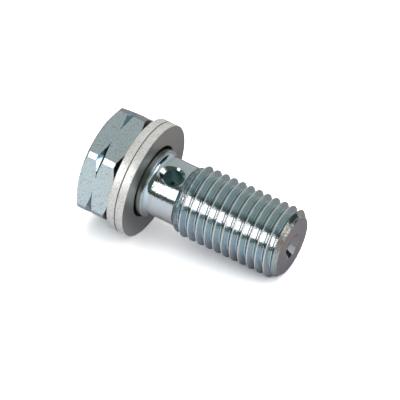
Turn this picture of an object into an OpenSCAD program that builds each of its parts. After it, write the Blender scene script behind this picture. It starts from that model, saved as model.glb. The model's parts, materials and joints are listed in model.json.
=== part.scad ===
// Banjo bolt with its two sealing washers. Millimetres. The bolt stands on its head, with +Z along its axis
// toward the tip and +X along the cross hole. Every height is measured up from the head's top, at z = 0.

/* [Head] */
// Width across the flats, which the wrench takes
head_across_flats = 14; // [12:0.5:19]
// Height of the head, from its top to its seat
head_height = 5.1; // [4:0.1:8]
// How far the sharp corners of the hexagon are turned down
corner_cut = 0.21; // [0.1:0.01:0.5]
// Slope of the turned chamfers at both ends of the head
head_chamfer_angle = 30; // [15:1:40]
// How far inside the flats the chamfer at the head's top starts
top_chamfer_inset = 0.2; // [0.05:0.05:1]
// How far inside the flats the chamfer at the seat starts
seat_chamfer_inset = 0.05; // [0.05:0.05:1]
// Turn of the hexagon about the bolt's axis, from a corner on the cross hole's axis
head_turn = 26.2; // [0:0.1:60]

/* [Groove round the head] */
// Height of the groove's root above the seat
groove_above_seat = 2.74; // [2:0.02:3]
// Depth of the groove below the turned corners
groove_depth = 0.8; // [0.3:0.05:1]
// Angle between the groove's two sides
groove_angle = 60; // [40:5:90]

/* [Sealing washers] */
// Outer diameter of both washers
washer_d = 15.8; // [14:0.1:20]
// Thickness of each washer
washer_thickness = 1.2; // [0.8:0.1:2]
// Clearance between the thread's crests and the washers' bore, each side
washer_clearance = 0.14; // [0.05:0.01:0.4]
// Small chamfer on every edge of a washer
washer_edge = 0.08; // [0.02:0.01:0.2]

/* [Collar and neck] */
// How far the collar is below the thread's crests
collar_relief = 0.2; // [0.1:0.05:0.5]
// How far the collar stands out of the washers
collar_stand_out = 0.8; // [0.2:0.1:2]
// Length of the cone from the collar down to the neck
collar_cone = 0.75; // [0.3:0.05:1.5]
// Length of the low step where the cone meets the neck
step_length = 0.6; // [0.2:0.05:1]
// Height of that step above the neck
step_rise = 0.05; // [0.02:0.01:0.15]
// How far the neck is below the thread's crests
neck_relief = 0.78; // [0.5:0.02:1.2]
// Length of plain neck between the cross hole's countersink and the thread
neck_land = 0.07; // [0:0.01:4]

/* [Thread] */
// Diameter over the crests of the M10 x 1.25 thread, which is right-handed
thread_d = 9.76; // [8:0.01:12]
// Length of the cone by which the thread starts at the neck
thread_lead_in = 1.13; // [0.5:0.01:2]
// Width of the 45 degree chamfer at the tip
tip_chamfer = 0.88; // [0.3:0.02:1.2]
// Length of the shank, from the seat to the tip
shank_length = 23.15; // [19:0.05:40]

/* [Oil ways] */
// Diameter of the bore along the axis, drilled from the tip
bore_d = 2.1; // [1.5:0.1:4]
// Width of the bore's countersink at the tip, all round the bore
bore_countersink = 0.77; // [0.2:0.01:1]
// Diameter of the hole across the neck, just past the end of the collar's cone
cross_hole_d = 2.5; // [1.5:0.1:3.5]
// Width of the cross hole's countersinks, all round the hole
cross_countersink = 0.5; // [0.1:0.05:0.8]

/* [Hidden] */
$fn = 96;
PLATED_STEEL = [0.62, 0.69, 0.72];
ALUMINIUM = [0.80, 0.80, 0.77];
DRILL_POINT = 118;
CUT = 1; // how far a cutting shape runs past what it cuts

flat_r = head_across_flats / 2;
corner_r = flat_r / cos(30) - corner_cut;
top_chamfer_r = flat_r - top_chamfer_inset;
seat_chamfer_r = flat_r - seat_chamfer_inset;
chamfer_slope = tan(head_chamfer_angle);
groove_z = head_height - groove_above_seat;
groove_half_width = groove_depth * tan(groove_angle / 2);

thread_r = thread_d / 2;
washer_bore_d = thread_d + 2 * washer_clearance;
collar_r = thread_r - collar_relief;
neck_r = thread_r - neck_relief;
step_r = neck_r + step_rise;
tip_r = thread_r - tip_chamfer;

collar_end_z = head_height + 2 * washer_thickness + collar_stand_out;
step_start_z = collar_end_z + collar_cone;
neck_start_z = step_start_z + step_length;
cross_mouth_r = cross_hole_d / 2 + cross_countersink;
cross_hole_z = step_start_z + cross_mouth_r;
thread_start_z = cross_hole_z + cross_mouth_r + neck_land;
tip_z = head_height + shank_length;
bore_end_z = cross_hole_z - cross_hole_d / 2;

// The head as the lathe leaves it: turned corners, two chamfers and the groove
module turned_head() {
    rotate_extrude()
        polygon([
            [0, 0],
            [top_chamfer_r, 0],
            [corner_r, (corner_r - top_chamfer_r) * chamfer_slope],
            [corner_r, groove_z - groove_half_width],
            [corner_r - groove_depth, groove_z],
            [corner_r, groove_z + groove_half_width],
            [corner_r, head_height - (corner_r - seat_chamfer_r) * chamfer_slope],
            [seat_chamfer_r, head_height],
            [0, head_height],
        ]);
}

// The hexagon that the head is milled or forged to
module hexagon() {
    rotate([0, 0, head_turn])
        translate([0, 0, -CUT])
            cylinder(r = flat_r / cos(30), h = head_height + 2 * CUT, $fn = 6);
}

// Collar, cone, step, neck and threaded length, which start inside the head
module shank() {
    rotate_extrude()
        polygon([
            [0, head_height / 2],
            [collar_r, head_height / 2],
            [collar_r, collar_end_z],
            [step_r, step_start_z],
            [step_r, neck_start_z],
            [neck_r, neck_start_z],
            [neck_r, thread_start_z],
            [thread_r, thread_start_z + thread_lead_in],
            [thread_r, tip_z - tip_chamfer],
            [tip_r, tip_z],
            [0, tip_z],
        ]);
}

// A 90 degree countersink of this width all round a hole whose mouth is at z = 0
module mouth_cone(hole_r, width) {
    translate([0, 0, -width])
        cylinder(r1 = hole_r, r2 = hole_r + width + CUT, h = width + CUT);
}

// Blind bore from the tip down to the cross hole, with its drill point and its countersink
module axial_bore() {
    bore_r = bore_d / 2;
    point_length = bore_r / tan(DRILL_POINT / 2);
    translate([0, 0, bore_end_z - point_length])
        cylinder(r1 = 0, r2 = bore_r, h = point_length);
    translate([0, 0, bore_end_z])
        cylinder(r = bore_r, h = tip_z - bore_end_z + CUT);
    translate([0, 0, tip_z])
        mouth_cone(bore_r, bore_countersink);
}

// Hole straight through the neck, countersunk at both ends
module cross_hole() {
    hole_r = cross_hole_d / 2;
    translate([0, 0, cross_hole_z])
        rotate([0, 90, 0]) {
            cylinder(r = hole_r, h = 2 * (neck_r + CUT), center = true);
            for (side = [0, 180])
                rotate([side, 0, 0])
                    translate([0, 0, neck_r])
                        mouth_cone(hole_r, cross_countersink);
        }
}

module banjo_bolt() {
    color(PLATED_STEEL)
        difference() {
            union() {
                intersection() {
                    turned_head();
                    hexagon();
                }
                shank();
            }
            axial_bore();
            cross_hole();
        }
}

// A flat ring with its edges broken, standing on the height z
module sealing_washer(z) {
    inner_r = washer_bore_d / 2;
    outer_r = washer_d / 2;
    color(ALUMINIUM)
        translate([0, 0, z])
            rotate_extrude()
                polygon([
                    [inner_r + washer_edge, 0],
                    [outer_r - washer_edge, 0],
                    [outer_r, washer_edge],
                    [outer_r, washer_thickness - washer_edge],
                    [outer_r - washer_edge, washer_thickness],
                    [inner_r + washer_edge, washer_thickness],
                    [inner_r, washer_thickness - washer_edge],
                    [inner_r, washer_edge],
                ]);
}

module head_sealing_washer() {
    sealing_washer(head_height);
}

module port_sealing_washer() {
    sealing_washer(head_height + washer_thickness);
}

banjo_bolt();
head_sealing_washer();
port_sealing_washer();
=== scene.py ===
import json
from math import asin, cos, pi, radians, sin, tan

import bpy
from mathutils import Matrix, Vector


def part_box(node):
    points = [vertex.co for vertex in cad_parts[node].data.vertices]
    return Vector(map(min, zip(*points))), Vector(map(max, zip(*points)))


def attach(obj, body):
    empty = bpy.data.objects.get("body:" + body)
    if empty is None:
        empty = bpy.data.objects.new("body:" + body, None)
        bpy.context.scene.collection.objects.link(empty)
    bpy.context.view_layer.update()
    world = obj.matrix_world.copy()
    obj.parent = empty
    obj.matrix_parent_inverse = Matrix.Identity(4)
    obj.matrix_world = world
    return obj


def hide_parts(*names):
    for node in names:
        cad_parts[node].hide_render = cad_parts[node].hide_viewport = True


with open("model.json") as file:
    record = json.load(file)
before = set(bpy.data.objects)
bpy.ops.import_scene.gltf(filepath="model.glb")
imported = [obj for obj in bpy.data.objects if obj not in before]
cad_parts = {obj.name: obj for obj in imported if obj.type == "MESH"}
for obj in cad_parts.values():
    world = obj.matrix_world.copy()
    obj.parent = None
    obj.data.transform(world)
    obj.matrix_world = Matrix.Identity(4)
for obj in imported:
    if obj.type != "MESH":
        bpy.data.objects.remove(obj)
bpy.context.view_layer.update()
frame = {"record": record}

# Banjo bolt: one piece of steel. A blank is turned with its collar, neck and tip, the head is made
# six-sided, the thread is rolled, and the oil ways are drilled. It is then plated all over with bright zinc.
# Here it is modelled in millimetres, standing on its head at z = 0, and shrunk to metres at the end.
MM = 0.001
FACETS = 144  # round a turned surface
DRILL_FACETS = 64  # round a drilled one
ARC_STEP = radians(15)  # about how far a rounded edge turns from one of its points to the next
WELD = 0.0005  # points closer together than this are merged
SEAM_WELD = 0.003  # and after a cut, points closer than this
SLIVER = 0.001  # edges and faces smaller than this are taken out after a cut
CUT = 1  # how far a cutting shape runs past what it cuts
mounts = {mount["name"]: mount for mount in frame["record"]["mounts"]}
seat_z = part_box("head_sealing_washer")[0].z / MM
washers_end_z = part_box("port_sealing_washer")[1].z / MM
tip_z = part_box("banjo_bolt")[1].z / MM

across_flats = 14.0
flat_r = across_flats / 2
hexagon_r = flat_r / cos(radians(30))
head_turn = 26.2  # from a corner of the hexagon to the cross hole's axis
corner_cut = 0.21  # how far the hexagon's corners are turned down
corner_r = hexagon_r - corner_cut
top_chamfer_inset = 0.2  # how far inside the flats the chamfer at the head's top starts
seat_chamfer_inset = 0.05  # and the one at its seat
top_chamfer_r = flat_r - top_chamfer_inset
seat_chamfer_r = flat_r - seat_chamfer_inset
chamfer_slope = tan(radians(30))
groove_above_seat = 2.74
groove_z = seat_z - groove_above_seat
groove_depth = 0.8
groove_half_width = groove_depth * tan(radians(30))
groove_rim = 0.06  # radius of the groove's two rims
head_edge = 0.03  # and of the head's other turned edges

thread_r = mounts["thread"]["dims"]["r_mm"]
collar_relief = 0.2  # how far the collar is below the thread's crests
neck_relief = 0.78  # and the neck
step_rise = 0.05  # height over the neck at the end of the collar's fillet
collar_r = thread_r - collar_relief
neck_r = thread_r - neck_relief
step_r = neck_r + step_rise
collar_stand_out = 0.8
fillet_length = 0.75
step_length = 0.6
step_run_out = 0.5  # how much further the step tapers down to the neck
collar_end_z = washers_end_z + collar_stand_out
step_start_z = collar_end_z + fillet_length
taper_end_z = step_start_z + step_length + step_run_out
collar_edge = 0.13
taper_bend = 3.0  # radius where the step's taper meets the neck
shank_edge = 0.02  # radius of the shank's other edges

bore_r = mounts["oil_bore"]["dims"]["r_mm"]
bore_countersink = 0.77  # width, all round the bore
drill_angle = 118  # of the drill's point
cross_hole_z = mounts["cross_hole"]["pos_m"][2] / MM
cross_hole_r = 1.25
cross_countersink = 0.5
sink_angle = 52  # from the cross hole's axis to the side of its countersinks
sink_aside = -0.12  # how far the countersinks lie beside the hole

neck_land = 0.07  # plain neck between the cross hole's countersink and the thread
thread_start_z = cross_hole_z + cross_hole_r + cross_countersink + neck_land
lead_in = 1.13
lead_in_end_z = thread_start_z + lead_in
lead_in_foot = 0.1  # radius where the lead-in rises from the neck
tip_chamfer = 0.88
tip_r = thread_r - tip_chamfer
tip_edge_r = 0.06
pitch = 1.25
thread_turns = 15
thread_depth = 0.77
crest_width = pitch / 8
crest_edge = 0.035
flank_width = thread_depth * tan(radians(30))
root_width = pitch - crest_width - 2 * flank_width
root_radius = 0.17
crest_z = 13.981  # height of the middle of a crest where it passes over the X axis
rod_overlap = 0.2  # of the threaded rod and the plain length below it


def rounded(outline, radius):
    """The outline with its inner corners turned into arcs. A point's third number is a radius of its own."""
    points = [Vector(point[:2]) for point in outline]
    result = [points[0]]
    for before, corner, after, place in zip(points, points[1:], points[2:], outline[1:]):
        back, ahead = (before - corner).normalized(), (after - corner).normalized()
        half_angle = back.angle(ahead) / 2
        size = place[2] if len(place) > 2 else radius
        centre = corner + (back + ahead).normalized() * size / sin(half_angle)
        arm = corner + back * size / tan(half_angle) - centre
        turn = (pi - 2 * half_angle) * (-1 if back.cross(ahead) > 0 else 1)
        steps = max(2, round(abs(turn) / ARC_STEP))
        for step in range(steps + 1):
            result.append(centre + Matrix.Rotation(turn * step / steps, 2) @ arm)
    return result + [points[-1]]


def draw(outline):
    """Draws a line through points (radius, height) in the XZ plane. It stays in edit mode, all selected."""
    bpy.ops.object.select_all(action="DESELECT")
    bpy.ops.mesh.primitive_plane_add(size=1)
    bpy.ops.object.mode_set(mode="EDIT")
    bpy.ops.mesh.merge(type="CENTER")
    points = [Vector((radius, 0, height)) for radius, height in outline]
    bpy.ops.transform.translate(value=points[0])
    for here, ahead in zip(points, points[1:]):
        bpy.ops.mesh.extrude_region_move(TRANSFORM_OT_translate={"value": ahead - here})
    bpy.ops.mesh.select_all(action="SELECT")


def close_up():
    """Merges doubles, turns every face outward and leaves edit mode."""
    bpy.ops.mesh.select_all(action="SELECT")
    bpy.ops.mesh.remove_doubles(threshold=WELD)
    bpy.ops.mesh.normals_make_consistent(inside=False)
    bpy.ops.object.mode_set(mode="OBJECT")


def turned(name, outline, facets=FACETS):
    """A solid turned about the Z axis, from an outline that ends on that axis or closes on itself."""
    draw(outline)
    bpy.ops.mesh.spin(steps=facets, angle=2 * pi, center=(0, 0, 0), axis=(0, 0, 1))
    close_up()
    solid = bpy.context.object
    solid.name = name
    return solid


def join(body, tool, operation):
    """Unites the body with the tool, or cuts it by the tool, and then removes the tool and mends slivers."""
    bpy.ops.object.select_all(action="DESELECT")
    bpy.context.view_layer.objects.active = body
    body.select_set(True)
    modifier = body.modifiers.new(operation.lower(), "BOOLEAN")
    modifier.operation = operation
    modifier.solver = "EXACT"
    modifier.object = tool
    bpy.ops.object.modifier_apply(modifier=modifier.name)
    bpy.data.objects.remove(tool)
    bpy.ops.object.mode_set(mode="EDIT")
    bpy.ops.mesh.select_all(action="SELECT")
    bpy.ops.mesh.remove_doubles(threshold=SEAM_WELD)
    bpy.ops.mesh.dissolve_degenerate(threshold=SLIVER)
    bpy.ops.mesh.select_all(action="SELECT")
    bpy.ops.mesh.fill_holes(sides=8)
    bpy.ops.mesh.normals_make_consistent(inside=False)
    bpy.ops.object.mode_set(mode="OBJECT")


def threaded_rod():
    """A long rod with the full thread, cut square below the thread's start and past the tip."""
    first_root_z = crest_z - pitch / 2 - 2 * pitch
    root_r = thread_r - thread_depth
    flank_end = root_width / 2 + flank_width
    draw(rounded([
        (root_r, first_root_z),
        (root_r, first_root_z + root_width / 2, root_radius),
        (thread_r, first_root_z + flank_end),
        (thread_r, first_root_z + flank_end + crest_width),
        (root_r, first_root_z + pitch - root_width / 2, root_radius),
        (root_r, first_root_z + pitch),
    ], crest_edge))
    bpy.ops.object.mode_set(mode="OBJECT")
    rod = bpy.context.object
    bpy.ops.object.modifier_add(type="SCREW")
    screw = rod.modifiers[-1]
    screw.screw_offset = pitch
    screw.iterations = thread_turns
    screw.steps = screw.render_steps = FACETS
    screw.use_merge_vertices = True
    screw.merge_threshold = WELD
    bpy.ops.object.modifier_apply(modifier=screw.name)
    bpy.ops.object.mode_set(mode="EDIT")
    bpy.ops.mesh.select_all(action="SELECT")
    bpy.ops.mesh.remove_doubles(threshold=WELD)
    for height, below in ((thread_start_z - 2 * rod_overlap, True), (tip_z + CUT / 2, False)):
        bpy.ops.mesh.select_all(action="SELECT")
        bpy.ops.mesh.bisect(plane_co=(0, 0, height), plane_no=(0, 0, 1), use_fill=True,
                            clear_inner=below, clear_outer=not below, threshold=0.0001)
    close_up()
    return rod


# The collar's end curves down to the step in a hollow fillet, drawn as short straight lines.
fillet_drop = collar_r - step_r
fillet_r = (fillet_drop ** 2 + (step_start_z - collar_end_z) ** 2) / (2 * fillet_drop)
fillet_turn = asin((step_start_z - collar_end_z) / fillet_r)
fillet_lines = 8
left_sharp = 0.001  # a radius this small leaves a corner as it is drawn
fillet = [(step_r + fillet_r * (1 - cos(angle)), step_start_z - fillet_r * sin(angle), left_sharp)
          for angle in (fillet_turn * step / fillet_lines for step in range(fillet_lines - 1, -1, -1))]
bolt = turned("bolt", rounded([
    (0, seat_z / 2),
    (collar_r, seat_z / 2),
    (collar_r, collar_end_z, collar_edge),
    *fillet,
    (neck_r, taper_end_z, taper_bend),
    (neck_r, thread_start_z, lead_in_foot),
    (thread_r, lead_in_end_z),
    (thread_r, tip_z - tip_chamfer),
    (tip_r, tip_z, tip_edge_r),
    (0, tip_z),
], shank_edge))

# A wide plain length with the threaded rod on top of it: the part of the blank inside them is the shank.
plain_end_z = thread_start_z - rod_overlap
plain_length = turned("plain_length", [
    (0, 0), (2 * thread_r, 0), (2 * thread_r, plain_end_z), (0, plain_end_z),
])
join(plain_length, threaded_rod(), "UNION")
join(bolt, plain_length, "INTERSECT")

head = turned("head", rounded([
    (0, 0),
    (top_chamfer_r, 0),
    (corner_r, (corner_r - top_chamfer_r) * chamfer_slope),
    (corner_r, groove_z - groove_half_width, groove_rim),
    (corner_r - groove_depth, groove_z),
    (corner_r, groove_z + groove_half_width, groove_rim),
    (corner_r, seat_z - (corner_r - seat_chamfer_r) * chamfer_slope),
    (seat_chamfer_r, seat_z),
    (0, seat_z),
], head_edge))
first_corner = 30  # where a six-sided cylinder has a corner when it is added
bpy.ops.object.select_all(action="DESELECT")
bpy.ops.mesh.primitive_cylinder_add(vertices=6, radius=hexagon_r, depth=3 * seat_z,
                                    location=(0, 0, seat_z / 2),
                                    rotation=(0, 0, radians(head_turn - first_corner)))
hexagon = bpy.context.object
join(head, hexagon, "INTERSECT")
join(bolt, head, "UNION")

drill_point = bore_r / tan(radians(drill_angle / 2))
bore_end_z = cross_hole_z - cross_hole_r
join(bolt, turned("axial_drill", [
    (0, bore_end_z - drill_point),
    (bore_r, bore_end_z),
    (bore_r, tip_z - bore_countersink),
    (bore_r + bore_countersink + CUT, tip_z + CUT),
    (0, tip_z + CUT),
], DRILL_FACETS), "DIFFERENCE")
drill_reach = 2 * neck_r
cross_drill = turned("cross_drill", [
    (0, -drill_reach), (cross_hole_r, -drill_reach), (cross_hole_r, drill_reach), (0, drill_reach),
], DRILL_FACETS)

# Two cones, point to point across the neck, with a thin rod between them, cut both countersinks at once.
sink_slope = tan(radians(sink_angle))
sink_reach = 2.0  # height of each cone
sink_point = neck_r - (cross_hole_r + cross_countersink) / sink_slope
rod_r = 0.3
deburring_bits = turned("deburring_bits", [
    (0, -sink_point - sink_reach),
    (sink_reach * sink_slope, -sink_point - sink_reach),
    (rod_r, -sink_point - rod_r / sink_slope),
    (rod_r, sink_point + rod_r / sink_slope),
    (sink_reach * sink_slope, sink_point + sink_reach),
    (0, sink_point + sink_reach),
], DRILL_FACETS)
for tool, aside in ((cross_drill, 0), (deburring_bits, sink_aside)):
    tool.rotation_euler = (0, pi / 2, 0)
    tool.location = (0, aside, cross_hole_z)
    join(bolt, tool, "DIFFERENCE")

SMOOTH_BELOW = radians(25)  # edges that turn by more than this stay sharp


def finish_piece(piece, node, material):
    """Shrinks a piece modelled in millimetres to metres, smooths it and hands it over for its CAD node."""
    bpy.ops.object.select_all(action="DESELECT")
    bpy.context.view_layer.objects.active = piece
    piece.select_set(True)
    piece.scale = (MM, MM, MM)
    piece.location *= MM
    bpy.ops.object.transform_apply(location=True, rotation=True, scale=True)
    bpy.ops.object.shade_smooth_by_angle(angle=SMOOTH_BELOW)
    piece.modifiers.new("flat_faces", "WEIGHTED_NORMAL").keep_sharp = True
    bpy.ops.object.modifier_apply(modifier="flat_faces")
    piece.data.materials.clear()
    piece.data.materials.append(material)
    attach(piece, "root")
    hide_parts(node)


class Socket:
    """A shader socket, with the operators that the materials use. One with no value only starts a tree."""

    def __init__(self, tree, value):
        self.tree, self.value = tree, value

    def node(self, kind, settings=None, output=0, **inputs):
        """Adds a node of this type, with its settings and then its inputs, and gives one of its outputs.

        An input goes by its name, or by i and its number where several share a name."""
        made = self.tree.nodes.new(kind)
        for name, value in (settings or {}).items():
            setattr(made, name, value)
        for name, value in inputs.items():
            socket = made.inputs[int(name[1:])] if name[1:].isdigit() else made.inputs[name.replace("_", " ")]
            if isinstance(value, Socket):
                self.tree.links.new(value.value, socket)
            else:
                socket.default_value = value
        return Socket(self.tree, made.outputs[output]) if made.outputs else None

    def math(self, operation, *others):
        """A Math node on this value, with others after it."""
        return self.node("ShaderNodeMath", {"operation": operation},
                         **{f"i{n}": value for n, value in enumerate((self, *others))})

    def __add__(self, other):
        return self.math("ADD", other)

    __radd__ = __add__

    def __sub__(self, other):
        return self.math("SUBTRACT", other)

    def __rsub__(self, other):
        return self.math("MULTIPLY", -1.0) + other

    def __mul__(self, other):
        return self.math("MULTIPLY", other)

    __rmul__ = __mul__

    def __truediv__(self, other):
        return self.math("DIVIDE", other)

    def __or__(self, other):
        """1 where either mask is 1."""
        return 1 - (1 - self) * (1 - other)

    def ramp(self, low, high):
        """0 below low and 1 above high, with a soft step between."""
        return self.node("ShaderNodeMapRange", {"interpolation_type": "SMOOTHSTEP"},
                         Value=self, From_Min=low, From_Max=high)

    def fall(self, low, high):
        """1 below low and 0 above high, with a soft step between."""
        return 1 - self.ramp(low, high)

    def band(self, start, full, fade, end):
        """0 below start, 1 from full to fade, and 0 again above end."""
        return self.ramp(start, full) * self.fall(fade, end)

    def near(self, level, full, end):
        """1 up to a distance full from this level, and 0 past a distance end."""
        return (self - level).math("ABSOLUTE").fall(full, end)

    def along(self, vector):
        """How far this place or direction reaches along a vector."""
        return self.node("ShaderNodeVectorMath", {"operation": "DOT_PRODUCT"}, output="Value",
                         i0=self, i1=tuple(vector))

    def noise(self, scale, detail=2.0):
        """Soft random values round 0.5, read at this place. A larger scale has smaller spots."""
        return self.node("ShaderNodeTexNoise", Vector=self, Scale=scale, Detail=detail)

    def mix(self, first, second):
        """The first colour where this is 0, and the second where it is 1."""
        return self.node("ShaderNodeMix", {"data_type": "RGBA"}, output=2, i0=self, i6=first, i7=second)


def new_material(name):
    """A material with its tree emptied, and a socket to start building from."""
    material = bpy.data.materials.new(name)
    material.use_nodes = True
    material.node_tree.nodes.clear()
    return material, Socket(material.node_tree, None)


def millimetres(start):
    """The place on the piece in millimetres: as a vector, as x, y and z, and as a distance from the axis."""
    place = start.node("ShaderNodeTexCoord", output="Object")
    mm = start.node("ShaderNodeVectorMath", {"operation": "SCALE"}, i0=place, Scale=1 / MM)
    x, y, z = (mm.node("ShaderNodeSeparateXYZ", output=axis, Vector=mm) for axis in "XYZ")
    return mm, x, y, z, (x * x + y * y).math("SQRT")


def metal_surface(start, colour, metallic, rough, height, depth):
    """Ends a metal's tree. Its bumps are this deep, in metres, for each 1 of the height."""
    bump = start.node("ShaderNodeBump", Height=height, Strength=1.0, Distance=depth)
    shader = start.node("ShaderNodeBsdfPrincipled", Base_Color=colour, Metallic=metallic,
                        Roughness=rough, Normal=bump)
    start.node("ShaderNodeOutputMaterial", Surface=shader)


# The bolt stands on its head here but lies on a table in the photograph, so the painted shade and reflections
# that follow the way up there, a stain on the tip's edge, and the camera, table and lamps, are placed by
# these directions. The angles are in degrees.
view_turn = 23.5  # about the bolt's axis, from the cross hole
view_tilt = 71.2  # from the bolt's axis
view_roll = 205.3  # about the line of sight
turn = (Matrix.Rotation(radians(view_turn), 3, "Z") @ Matrix.Rotation(radians(view_tilt), 3, "Y")
        @ Matrix.Rotation(radians(view_roll), 3, "Z"))
right, up, toward = turn.col[0].copy(), turn.col[1].copy(), turn.col[2].copy()
table_tilt = radians(34.57)  # height of the camera over the table
ground = sin(table_tilt) * toward + cos(table_tilt) * up
upward = Vector((ground.x, ground.y, 0)).normalized()


def bright_zinc():
    """Zinc with a pale blue cast, teal and olive stains, bare crests, and painted shade, reflections and a
    highlight.
    """
    material, start = new_material("bright_zinc")
    mm, x, y, z, radius = millimetres(start)
    height_up = mm.along(upward)
    angle = y.math("ARCTAN2", x)  # round the bolt's axis from the cross hole, in radians
    facing = start.node("ShaderNodeTexCoord", output="Normal")
    slope = start.node("ShaderNodeSeparateXYZ", output="Z", Vector=facing).math("ABSOLUTE")
    clouds, mottle, grain, fine = mm.noise(0.3, 3.0), mm.noise(1.3, 3.0), mm.noise(3.5, 3.0), mm.noise(8.0)
    # Turning marks: the lay crosses the end face and the tip's edge, and the rings cross the shank.
    lay = start.node("ShaderNodeCombineXYZ", X=x * 0.3, Y=y * 0.3, Z=(radius - z) * 5.0).noise(1.0, 3.0)
    rings = start.node("ShaderNodeCombineXYZ", X=radius * 0.2, Y=0.0, Z=z * 5.0).noise(1.0, 3.0)

    # Masks of the head
    head = z.fall(seat_z - 0.1, seat_z)
    head_stain = 0.4 * head * z.ramp(seat_z - 1.4, seat_z - 0.4) * mottle.ramp(0.5, 0.65)
    specks = head * mm.noise(5.0).ramp(0.59, 0.63)
    # Painted shade: the hexagon's turned corner strips are darkened, as they mirror the dark under the bolt.
    corners = head * radius.ramp(corner_r - 0.018, corner_r - 0.005)
    groove_r = corner_r - groove_depth
    groove_root = z.near(groove_z, 0.02, 0.06) * radius.ramp(groove_r + 0.003, groove_r + 0.02) * head
    groove_walls = z.near(groove_z, 0.5, 0.55) * slope.ramp(0.2, 0.5)
    # Painted shade: the head's seat chamfer, which the washer shades, is painted near black.
    chamfer_z = seat_z - (radius - seat_chamfer_r) * chamfer_slope
    seat_shade = ((z - chamfer_z).ramp(-0.04, -0.02) * z.fall(seat_z + 0.01, seat_z + 0.02)
                 * radius.ramp(seat_chamfer_r - 0.05, seat_chamfer_r + 0.01))

    # Masks of the collar, the neck and the oil ways
    shank = z.ramp(washers_end_z, washers_end_z + 0.5)
    collar = z.band(seat_z, seat_z + 0.1, collar_end_z - 0.2, collar_end_z - 0.14)
    fillet_zone = z.band(collar_end_z, collar_end_z + 0.1, step_start_z - 0.1, step_start_z + 0.1)
    bit_marks = z.near(step_start_z + 0.09, 0.02, 0.06) | z.near(step_start_z + 0.37, 0.02, 0.06)
    off_hole = (y * y + (z - cross_hole_z) * (z - cross_hole_z)).math("SQRT")
    in_hole = (off_hole.fall(cross_hole_r + 0.02, cross_hole_r + 0.06)
               * radius.fall(neck_r - 0.4, neck_r - 0.35))
    inside = radius.fall(bore_r + 0.02, bore_r + 0.06) | in_hole

    # Masks of the thread
    thread = z.band(thread_start_z + 0.5, thread_start_z + 0.7, tip_z - 0.75, tip_z - 0.65)
    run_in = z.band(thread_start_z - 0.1, thread_start_z + 0.3, lead_in_end_z + 0.15, lead_in_end_z + 0.85)
    turns = (z - crest_z) / pitch - angle / (2 * pi)
    along_turn = turns.math("FRACT")  # 0 at a crest, rising over its tip side, the root and its head side
    from_crest = 0.5 - (along_turn - 0.5).math("ABSOLUTE")
    crest = thread * from_crest.fall(0.03, 0.055) * radius.ramp(thread_r - 0.06, thread_r - 0.02)
    # Painted highlight and shade: a lighter strip round the thread where it mirrors a softbox, and a shaded
    # strip beside it.
    shade_strip = thread * angle.band(0.22, 0.28, 0.30, 0.36)
    highlight_strip = thread * angle.band(0.30, 0.36, 0.66, 0.72)
    # Painted shade in the roots, where they meet the head-side flanks, left out on the highlight strip.
    root_side = along_turn.band(0.49, 0.51, 0.60, 0.64) * radius.ramp(3.0, 3.2)
    root = thread * root_side * (1 - highlight_strip)

    # Masks of the tip
    end_face = z.ramp(tip_z - 0.03, tip_z - 0.01)
    tip_edge = (z + radius).ramp(tip_z + tip_r - 0.1, tip_z + tip_r)
    # Painted dark reflection: a black patch on one side of the tip's edge.
    tip_dark_reflection = tip_edge * angle.band(-0.7, -0.6, -0.3, -0.15) * radius.ramp(tip_r + 0.25, tip_r + 0.4)
    edge_stain = mottle.ramp(0.45, 0.6) * height_up.ramp(-0.5, 1.0)

    # The plating's own colours, those of its stains and bare places, and painted shade, reflections and a
    # highlight
    teal, blue, reflection_lavender = (0.61, 0.75, 0.76, 1), (0.62, 0.725, 0.80, 1), (0.66, 0.67, 0.71, 1)
    olive, dull_teal, straw = (0.62, 0.70, 0.62, 1), (0.40, 0.50, 0.53, 1), (0.62, 0.57, 0.45, 1)
    thread_blue, thread_teal, strip_shade_teal = (0.44, 0.59, 0.74, 1), (0.43, 0.59, 0.61, 1), (0.32, 0.46, 0.50, 1)
    highlight_lilac, slate, ice_blue = (0.80, 0.77, 0.82, 1), (0.38, 0.44, 0.49, 1), (0.66, 0.87, 0.95, 1)
    ring_brown, mark_brown, fleck_blue = (0.55, 0.50, 0.48, 1), (0.42, 0.33, 0.31, 1), (0.22, 0.29, 0.36, 1)
    corner_shade_grey, root_shade_black, groove_shade_black = (0.39, 0.40, 0.43, 1), (0.06, 0.06, 0.08, 1), (0.07, 0.09, 0.11, 1)
    wall_slate, wall_grey = (0.36, 0.40, 0.48, 1), (0.56, 0.62, 0.66, 1)
    wall_dark, wall_teal = (0.15, 0.22, 0.26, 1), (0.36, 0.50, 0.56, 1)
    bare_crest, hole_teal, run_in_teal = (0.86, 0.83, 0.75, 1), (0.43, 0.70, 0.70, 1), (0.25, 0.36, 0.40, 1)
    edge_teal, edge_brown, dark_reflection_black = (0.53, 0.72, 0.72, 1), (0.62, 0.50, 0.36, 1), (0.08, 0.10, 0.09, 1)
    face_violet, face_tan, face_grey = (0.55, 0.53, 0.62, 1), (0.68, 0.59, 0.49, 1), (0.50, 0.52, 0.54, 1)
    collar_shade_grey, dirt_and_shade_black = (0.30, 0.31, 0.28, 1), (0.05, 0.05, 0.05, 1)

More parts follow.
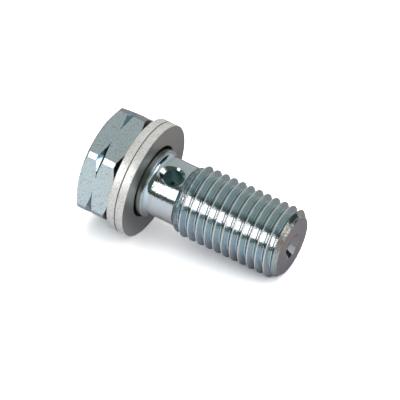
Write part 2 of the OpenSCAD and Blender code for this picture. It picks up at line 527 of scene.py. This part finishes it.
    colour = (clouds.ramp(0.42, 0.6) * (0.4 + 0.6 * shank)).mix(teal, blue)
    # painted reflection: the shank turns lavender toward its lower side, which mirrors the table
    colour = (shank * (height_up + 3.0 * clouds).fall(-1.5, 4.0)).mix(colour, reflection_lavender)
    colour = (0.5 * mottle.ramp(0.5, 0.7)).mix(colour, olive)
    dull = (0.25 - 0.1 * shank + 0.25 * thread) * grain.ramp(0.45, 0.65) + 0.15 * fine.ramp(0.4, 0.6)
    colour = dull.mix(colour, dull_teal)
    # painted reflection: the thread is bluer on its lower side and teal on its upper
    thread_side_tint = height_up.ramp(-3.5, 2.5).mix(thread_blue, thread_teal)
    colour = ((0.35 + 0.5 * clouds) * thread).mix(colour, thread_side_tint)
    # painted shade beside the painted highlight strip, and then the painted highlight strip itself
    colour = (0.4 * shade_strip).mix(colour, strip_shade_teal)
    colour = (0.65 * highlight_strip).mix(colour, highlight_lilac)
    colour = head_stain.mix(colour, straw)
    # painted light and shade: the fillet is ice blue on its upper side and slate on its lower
    fillet_side_shading = height_up.ramp(-3.0, 2.5).mix(slate, ice_blue)
    colour = (0.8 * fillet_zone).mix(colour, fillet_side_shading)
    colour = (0.25 * shank * rings.ramp(0.45, 0.62)).mix(colour, ring_brown)
    colour = (0.6 * bit_marks * shank).mix(colour, mark_brown)
    colour = (0.6 * specks).mix(colour, fleck_blue)
    # painted shade on the turned corners
    colour = (0.9 * corners).mix(colour, corner_shade_grey)
    # painted shade in the thread's roots
    colour = (0.9 * root).mix(colour, root_shade_black)
    # Painted shade and reflections: the groove's walls are coloured by height on the way up, lighter going
    # up, then dark, then teal at the top.
    wall_shading = height_up.ramp(-2.0, 3.5).mix(wall_slate, wall_grey)
    wall_shading = height_up.ramp(4.5, 4.9).mix(wall_shading, wall_dark)
    wall_shading = height_up.ramp(6.2, 6.6).mix(wall_shading, wall_teal)
    colour = (0.85 * groove_walls).mix(colour, wall_shading)
    # painted shade at the bottom of the head's groove
    colour = (0.8 * groove_root).mix(colour, groove_shade_black)
    colour = (0.85 * crest).mix(colour, bare_crest)
    colour = (0.85 * inside).mix(colour, hole_teal)
    colour = (0.7 * tip_edge).mix(colour, edge_stain.mix(edge_teal, edge_brown))
    # painted dark reflection on the tip's edge
    colour = (0.9 * tip_dark_reflection).mix(colour, dark_reflection_black)
    colour = (run_in * mottle.ramp(0.45, 0.6) * 0.6).mix(colour, run_in_teal)
    face = clouds.ramp(0.4, 0.6).mix(face_violet, face_tan)
    face = (0.7 * lay.ramp(0.45, 0.65)).mix(face, face_grey)
    colour = (0.85 * end_face).mix(colour, face)
    # painted shade: the collar beside the washers is darkened
    colour = (0.7 * collar).mix(colour, collar_shade_grey)
    # painted shade on the head's seat chamfer, beside the washer
    colour = (0.9 * seat_shade).mix(colour, dirt_and_shade_black)

    rough = 0.07 + 0.08 * grain + 0.3 * crest + 0.25 * inside + 0.25 * end_face + 0.1 * root + 0.1 * collar
    height = (grain * (0.5 + 0.4 * thread + 3.0 * tip_edge + 3.5 * run_in)
              + fine * 0.25
              + rings * (0.2 * shank * (1 - thread) + 0.5 * collar)
              + mottle * (5.0 * run_in + 1.5 * tip_edge)
              + lay * (4.0 * tip_edge + 0.6 * end_face))
    metal_surface(start, colour, 1 - 0.08 * thread, rough, height, depth=0.00002)
    return material


finish_piece(bolt, "banjo_bolt", bright_zinc())

# Sealing washers: two flat aluminium rings, punched from sheet and tumbled, loose on the shank. The first
# lies on the head's seat and the second on the first. One is modelled and the other is a copy.
washer_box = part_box("head_sealing_washer")
washer_r = washer_box[1].x / MM
washer_thickness = (washer_box[1].z - washer_box[0].z) / MM
washer_clearance = 0.14  # between the thread's crests and the bore, each side
washer_bore_r = thread_r + washer_clearance
middle_r = (washer_bore_r + washer_r) / 2
punched_edge = 0.17  # radius of the outer edge on the head's side, which the punch rolled over
washer_edge = 0.08  # and of the other edges


def soft_aluminium():
    """Aluminium with a dull face, a brighter rim roughened by the punch, dirt where the washers meet, and
    painted shade toward the table.
    """
    material, start = new_material("soft_aluminium")
    mm, _, _, z, radius = millimetres(start)
    rim = radius.ramp(washer_r - 0.12, washer_r - 0.05)
    joint = z.near(seat_z + washer_thickness, 0.03, 0.07)
    grain, dust = mm.noise(6.0, 3.0), mm.noise(1.2, 3.0)
    # Painted light and shade: face and rim are lighter on their upper side and darker toward the table.
    lit_side = mm.along(upward).ramp(-4.0, 6.5)
    face_shaded, face_lit = (0.43, 0.46, 0.45, 1), (0.59, 0.61, 0.57, 1)
    rim_shaded, rim_lit = (0.80, 0.80, 0.80, 1), (1.0, 1.0, 0.96, 1)
    torn_grey, dust_grey, dirt_and_shade_black = (0.42, 0.43, 0.41, 1), (0.50, 0.51, 0.48, 1), (0.10, 0.10, 0.10, 1)
    colour = rim.mix(lit_side.mix(face_shaded, face_lit), lit_side.mix(rim_shaded, rim_lit))
    colour = (0.45 * rim * grain.ramp(0.5, 0.6)).mix(colour, torn_grey)
    colour = (0.2 * dust.ramp(0.45, 0.7)).mix(colour, dust_grey)
    colour = (0.9 * rim * joint).mix(colour, dirt_and_shade_black)
    rough = 0.32 - 0.02 * rim + 0.15 * grain
    metal_surface(start, colour, 1 - 0.18 * rim, rough, grain * (0.4 + 1.1 * rim), depth=0.00004)
    return material


washer_metal = soft_aluminium()
head_washer = turned("head_washer", rounded([
    (middle_r, 0),
    (washer_r, 0, punched_edge),
    (washer_r, washer_thickness),
    (washer_bore_r, washer_thickness),
    (washer_bore_r, 0),
    (middle_r, 0),
], washer_edge))
bpy.ops.object.duplicate()
port_washer = bpy.context.object
port_washer.name = "port_washer"
for washer, level in ((head_washer, seat_z), (port_washer, seat_z + washer_thickness)):
    washer.location.z = level
finish_piece(head_washer, "head_sealing_washer", washer_metal)
finish_piece(port_washer, "port_sealing_washer", washer_metal)

# Camera: the photograph looks down on the bolt, which lies on its front washer's rim and its thread. It is
# placed round the standing bolt so that it sees it from the same side, and rolled to show it lying.
distance = 0.5195
pixels_per_metre = 7700  # in the photograph, at the bolt
pixels_right, pixels_down = 46.35, 18.85  # from the middle of the washers' front face to the picture's centre
aim_right, aim_down = pixels_right / pixels_per_metre, pixels_down / pixels_per_metre
face_centre = Vector((0, 0, washers_end_z * MM))
eye = face_centre + distance * toward
back = (eye - (face_centre + aim_right * right - aim_down * up)).normalized()
across = up.cross(back).normalized()
bpy.ops.object.select_all(action="DESELECT")
bpy.ops.object.camera_add(location=eye)
camera = bpy.context.object
camera.rotation_euler = Matrix((across, back.cross(across), back)).transposed().to_euler()
camera.data.lens = 360
camera.data.sensor_width = 36
camera.data.clip_start = 0.01
bpy.context.scene.camera = camera

# Table: the white surface that the bolt lies on in the photograph, touching the front washer's rim and the
# last full turn of the thread. It isn't part of the object, and from behind it is see-through.
table_r = 0.08
rim_contact = face_centre - upward * washer_r * MM
bpy.ops.object.select_all(action="DESELECT")
bpy.ops.mesh.primitive_circle_add(vertices=64, radius=table_r, fill_type="NGON", location=rim_contact)
table = bpy.context.object
table.name = "table"
front = (toward - toward.dot(ground) * ground).normalized()  # along the table, toward the camera
beside = ground.cross(front)  # along the table, toward the camera's right
table.rotation_euler = Matrix((beside, -front, ground)).transposed().to_euler()
material, start = new_material("table_white")
camera_ray = start.node("ShaderNodeLightPath", output="Is Camera Ray")
place = start.node("ShaderNodeTexCoord", output="Object")
shaded_azimuth = radians(133)  # the way in which the metal sees the table get darker
shaded_side = place.along((sin(shaded_azimuth), -cos(shaded_azimuth), 0)).ramp(-0.0025, 0.005)
seen_by_metal = shaded_side.mix((0.79, 0.78, 0.80, 1), (0.28, 0.26, 0.27, 1))
seen_by_camera = (1.72, 1.72, 1.72, 1)  # plain white, apart from the shadow
lit = start.node("ShaderNodeBsdfDiffuse", Color=camera_ray.mix(seen_by_metal, seen_by_camera))
clear = start.node("ShaderNodeBsdfTransparent")
behind = start.node("ShaderNodeNewGeometry", output="Backfacing")
one_sided = start.node("ShaderNodeMixShader", i0=behind, i1=lit, i2=clear)
start.node("ShaderNodeOutputMaterial", Surface=one_sided)
table.data.materials.append(material)

# Studio: a grey room, white to the camera. Reflections also show a dark olive card from the left round to
# the front, a black card at the right and two softboxes. A third, wide one lights only matt surfaces.
# Azimuths run from the camera's side toward its right, and elevations from the table up, all in degrees.
world = bpy.data.worlds.new("studio")
bpy.context.scene.world = world
world.use_nodes = True
world.node_tree.nodes.clear()
start = Socket(world.node_tree, None)
direction = start.node("ShaderNodeTexCoord", output="Generated")
degrees_in = 180 / pi  # degrees in a radian
ray_azimuth = direction.along(beside).math("ARCTAN2", direction.along(front)) * degrees_in
ray_elevation = direction.along(ground).math("ARCSINE") * degrees_in


def card(azimuth_range, elevation_range, soft=5):
    """1 inside these ranges of azimuth and elevation, falling to 0 over a soft edge outside them."""
    (west, east), (low, high) = azimuth_range, elevation_range
    return (ray_azimuth.band(west - soft, west, east, east + soft)
            * ray_elevation.band(low - soft, low, high, high + soft))


camera_ray = start.node("ShaderNodeLightPath", output="Is Camera Ray")
glossy_ray = start.node("ShaderNodeLightPath", output="Is Glossy Ray")
room_grey, card_olive = (0.51, 0.51, 0.51, 1), (0.085, 0.092, 0.075, 1)
card_black, white = (0.02, 0.02, 0.02, 1), (1, 1, 1, 1)
room = (glossy_ray * card((-100, 40), (-8, 60))).mix(room_grey, card_olive)
room = (glossy_ray * card((84, 125), (4, 40))).mix(room, card_black)
background = start.node("ShaderNodeBackground", Color=camera_ray.mix(room, white), Strength=1.0)
start.node("ShaderNodeOutputWorld", Surface=background)

lamp_target = Vector((0, 0, 0.014))  # about the middle of the bolt


def softbox(name, azimuth, elevation, width, height, radiance, reach=0.35):
    """A rectangular lamp in this direction, as wide and high as these angles seen from the bolt."""
    a, e = radians(azimuth), radians(elevation)
    aim = cos(e) * (cos(a) * front + sin(a) * beside) + sin(e) * ground
    bpy.ops.object.select_all(action="DESELECT")
    bpy.ops.object.light_add(type="AREA", location=lamp_target + reach * aim)
    lamp = bpy.context.object
    lamp.name = name
    level_way = ground.cross(aim).normalized()
    lamp.rotation_euler = Matrix((level_way, aim.cross(level_way), aim)).transposed().to_euler()
    lamp.data.shape = "RECTANGLE"
    lamp.data.size = 2 * reach * tan(radians(width / 2))
    lamp.data.size_y = 2 * reach * tan(radians(height / 2))
    lamp.data.energy = radiance * pi * lamp.data.size * lamp.data.size_y
    lamp.visible_camera = False
    return lamp


left_softbox = softbox("left_softbox", azimuth=-57.5, elevation=27.8, width=31.5, height=31.5, radiance=3.4)
right_softbox = softbox("right_softbox", azimuth=66, elevation=30, width=26, height=22, radiance=1.8)
overhead = softbox("overhead_softbox", azimuth=60, elevation=55, width=100, height=100, radiance=1.2)
left_softbox.visible_diffuse = False
right_softbox.visible_diffuse = False
overhead.visible_glossy = False

bpy.context.scene.view_settings.view_transform = "Standard"
